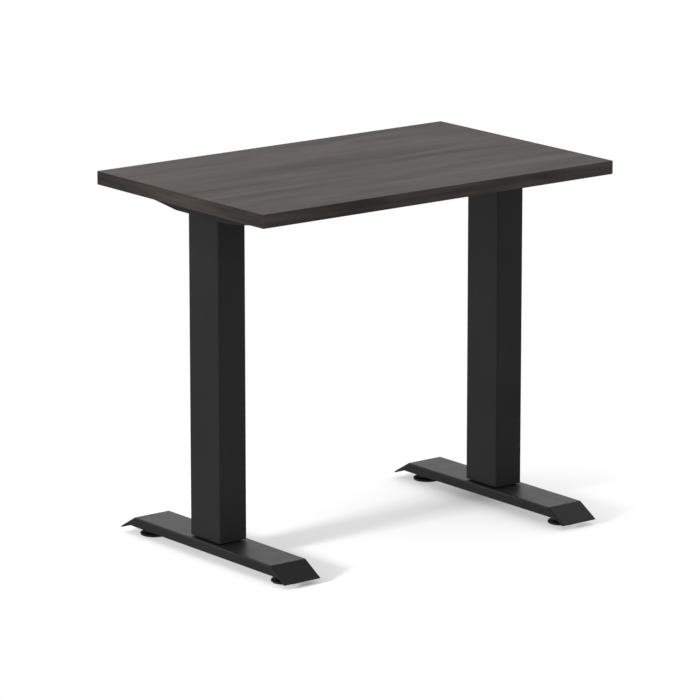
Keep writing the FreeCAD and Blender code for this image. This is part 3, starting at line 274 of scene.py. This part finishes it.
def laminate():
    paint = Nodes("dark_wood_laminate")
    color, roughness, relief = grain(paint, "x", (0.014, 0.0105, 0.0086), (0.065, 0.0515, 0.0435))
    normal = paint.bump(relief, WOOD_RELIEF)
    return paint.shade(color, roughness, normal, specular=WOOD_SPECULAR)


def edge_band():
    """The same print, with its grain along whichever edge the band is on."""
    paint = Nodes("dark_wood_edge_band")
    dark, pale = (0.013, 0.010, 0.0082), (0.066, 0.053, 0.0445)
    long_color, long_rough, long_relief = grain(paint, "x", dark, pale)
    side_color, side_rough, side_relief = grain(paint, "y", dark, pale)
    facing = paint.add("SeparateXYZ", {"Vector": paint.add("NewGeometry").outputs["Normal"]})
    sideways = paint.ramp(paint.math("ABSOLUTE", facing.outputs["X"]), 0.6, 0.8)
    color = paint.blend(sideways, long_color, side_color)
    worn = paint.edges(0.8 * MM)
    color = paint.blend(paint.math("MULTIPLY", worn, 0.6), color, WORN_BAND_COLOR)
    roughness = paint.mix(sideways, long_rough, side_rough)
    relief = paint.mix(sideways, long_relief, side_relief)
    normal = paint.bump(relief, WOOD_RELIEF, paint.rounded(0.4 * MM))
    return paint.shade(color, roughness, normal, specular=WOOD_SPECULAR)


def powder_coat(name, tone, fineness, depth):
    """Textured black powder coat, thinner and a little paler along the edges."""
    paint = Nodes(name)
    orange_peel = paint.noise(420, detail=2, rough=0.5)
    grit = paint.noise(fineness, detail=3, rough=0.6)
    cloud = paint.noise(7, detail=4, rough=0.6)
    dust = paint.noise(31, detail=6, rough=0.75)
    shift = paint.ramp(cloud, 0.3, 0.7, 0.86, 1.14)
    color = paint.add("Mix", data_type="RGBA", blend_type="MULTIPLY")
    paint.feed(color.inputs["Factor"], 1.0)
    paint.feed(color.inputs[6], (tone, tone, tone * 1.02))
    paint.feed(color.inputs[7], shift)
    worn = paint.math("MULTIPLY", paint.edges(0.9 * MM), paint.ramp(dust, 0.3, 0.7, 0.2, 0.8))
    color = paint.blend(paint.math("MULTIPLY", worn, 0.5), color.outputs[2],
                        WORN_COAT_COLOR)
    roughness = paint.math("ADD", paint.ramp(grit, 0.3, 0.7, 0.40, 0.50),
                           paint.ramp(dust, 0.45, 0.75, 0.0, 0.06))
    relief = paint.math("ADD", grit, paint.math("MULTIPLY", orange_peel, 1.4))
    normal = paint.bump(relief, depth, paint.rounded(0.9 * MM))
    return paint.shade(color, roughness, normal)


def plastic(name, color, roughness, fineness=2200, depth=0.03 * MM):
    """Moulded plastic with a spark-eroded texture and rubbed edges."""
    paint = Nodes(name)
    texture = paint.noise(fineness, detail=2, rough=0.5)
    cloud = paint.noise(24, detail=3, rough=0.6)
    pale = tuple(min(1.0, channel * 1.5 + 0.012) for channel in color)
    tint = paint.blend(paint.ramp(cloud, 0.35, 0.65, 0.0, 0.25), color, pale)
    tint = paint.blend(paint.math("MULTIPLY", paint.edges(0.5 * MM), 0.5), tint, pale)
    rough = paint.ramp(texture, 0.3, 0.7, roughness - 0.06, roughness + 0.08)
    normal = paint.bump(texture, depth, paint.rounded(0.4 * MM))
    return paint.shade(tint, rough, normal)


def plated_steel(name, color, roughness, brushed):
    """Zinc-plated or ground steel: crystal patches and fine marks along one axis."""
    paint = Nodes(name)
    marks = paint.noise(brushed, detail=4, rough=0.7)
    patches = paint.add("TexVoronoi", {"Vector": paint.stretched((160, 160, 160)),
                                       "Scale": 1.0}).outputs["Color"]
    stain = paint.noise(60, detail=5, rough=0.7)
    dull = tuple(channel * 0.62 for channel in color)
    bright = paint.blend(paint.math("MULTIPLY", paint.ramp(stain, 0.4, 0.75), 0.6),
                         color, dull)
    tint = paint.blend(0.06, bright, patches)
    rough = paint.ramp(marks, 0.3, 0.7, roughness - 0.08, roughness + 0.12)
    normal = paint.bump(marks, 0.02 * MM, paint.rounded(0.3 * MM))
    return paint.shade(tint, rough, normal, metallic=1.0)


def circuit_board():
    """Green solder mask with copper tracks showing through as a paler green."""
    paint = Nodes("circuit_board")
    tracks = paint.add("TexBrick", {"Vector": paint.stretched((90, 90, 90)), "Scale": 1.0,
                                    "Mortar Size": 0.12, "Color1": (0, 0, 0),
                                    "Color2": (0.15, 0.15, 0.15), "Mortar": (1, 1, 1)})
    cloud = paint.noise(45, detail=3)
    amount = paint.math("MULTIPLY", tracks.outputs["Color"], paint.ramp(cloud, 0.35, 0.6))
    color = paint.blend(amount, (0.012, 0.085, 0.035), (0.05, 0.22, 0.09))
    normal = paint.bump(amount, 0.03 * MM)
    return paint.shade(color, 0.28, normal, Coat_Weight=0.4)


MATERIALS = {
    "desktop_laminate": laminate,
    "edge_band": edge_band,
    "black_powder_coat": lambda: powder_coat("black_powder_coat", 0.013, 1500, 0.045 * MM),
    "middle_tube_coat": lambda: powder_coat("middle_tube_coat", 0.012, 2600, 0.02 * MM),
    "inner_tube_coat": lambda: powder_coat("inner_tube_coat", 0.011, 2600, 0.02 * MM),
    "zinc_steel": lambda: plated_steel("zinc_steel", (0.62, 0.63, 0.62), 0.34, 900),
    "ground_steel": lambda: plated_steel("ground_steel", (0.50, 0.50, 0.50), 0.26,
                                         (60, 60, 3000)),
    "glide_plastic": lambda: plastic("glide_plastic", (0.012, 0.012, 0.012), 0.46),
    "slider_plastic": lambda: plastic("slider_plastic", (0.016, 0.016, 0.016), 0.40),
    "nut_plastic": lambda: plastic("nut_plastic", (0.66, 0.63, 0.55), 0.36),
    "cast_aluminium": lambda: plated_steel("cast_aluminium", (0.60, 0.61, 0.62), 0.50, 1300),
    "motor_steel": lambda: powder_coat("motor_steel", 0.05, 1800, 0.02 * MM),
    "case_plastic": lambda: plastic("case_plastic", (0.014, 0.014, 0.014), 0.50, 1600,
                                    0.05 * MM),
    "socket_plastic": lambda: plastic("socket_plastic", (0.02, 0.02, 0.02), 0.38),
    "circuit_board": circuit_board,
    "button_plastic": lambda: plastic("button_plastic", (0.19, 0.19, 0.19), 0.52),
}


def paint_parts():
    """Give every CAD part the material of its slot."""
    made = {slot: build() for slot, build in MATERIALS.items()}
    for entry in frame["record"]["subparts"]:
        part = frame["nodes"][entry["node"]]
        part.data.materials.clear()
        part.data.materials.append(made[entry["material_slot"]])


make_camera()
make_world()
make_lights(make_floor())
paint_parts()
bpy.context.scene.view_settings.view_transform = "Standard"
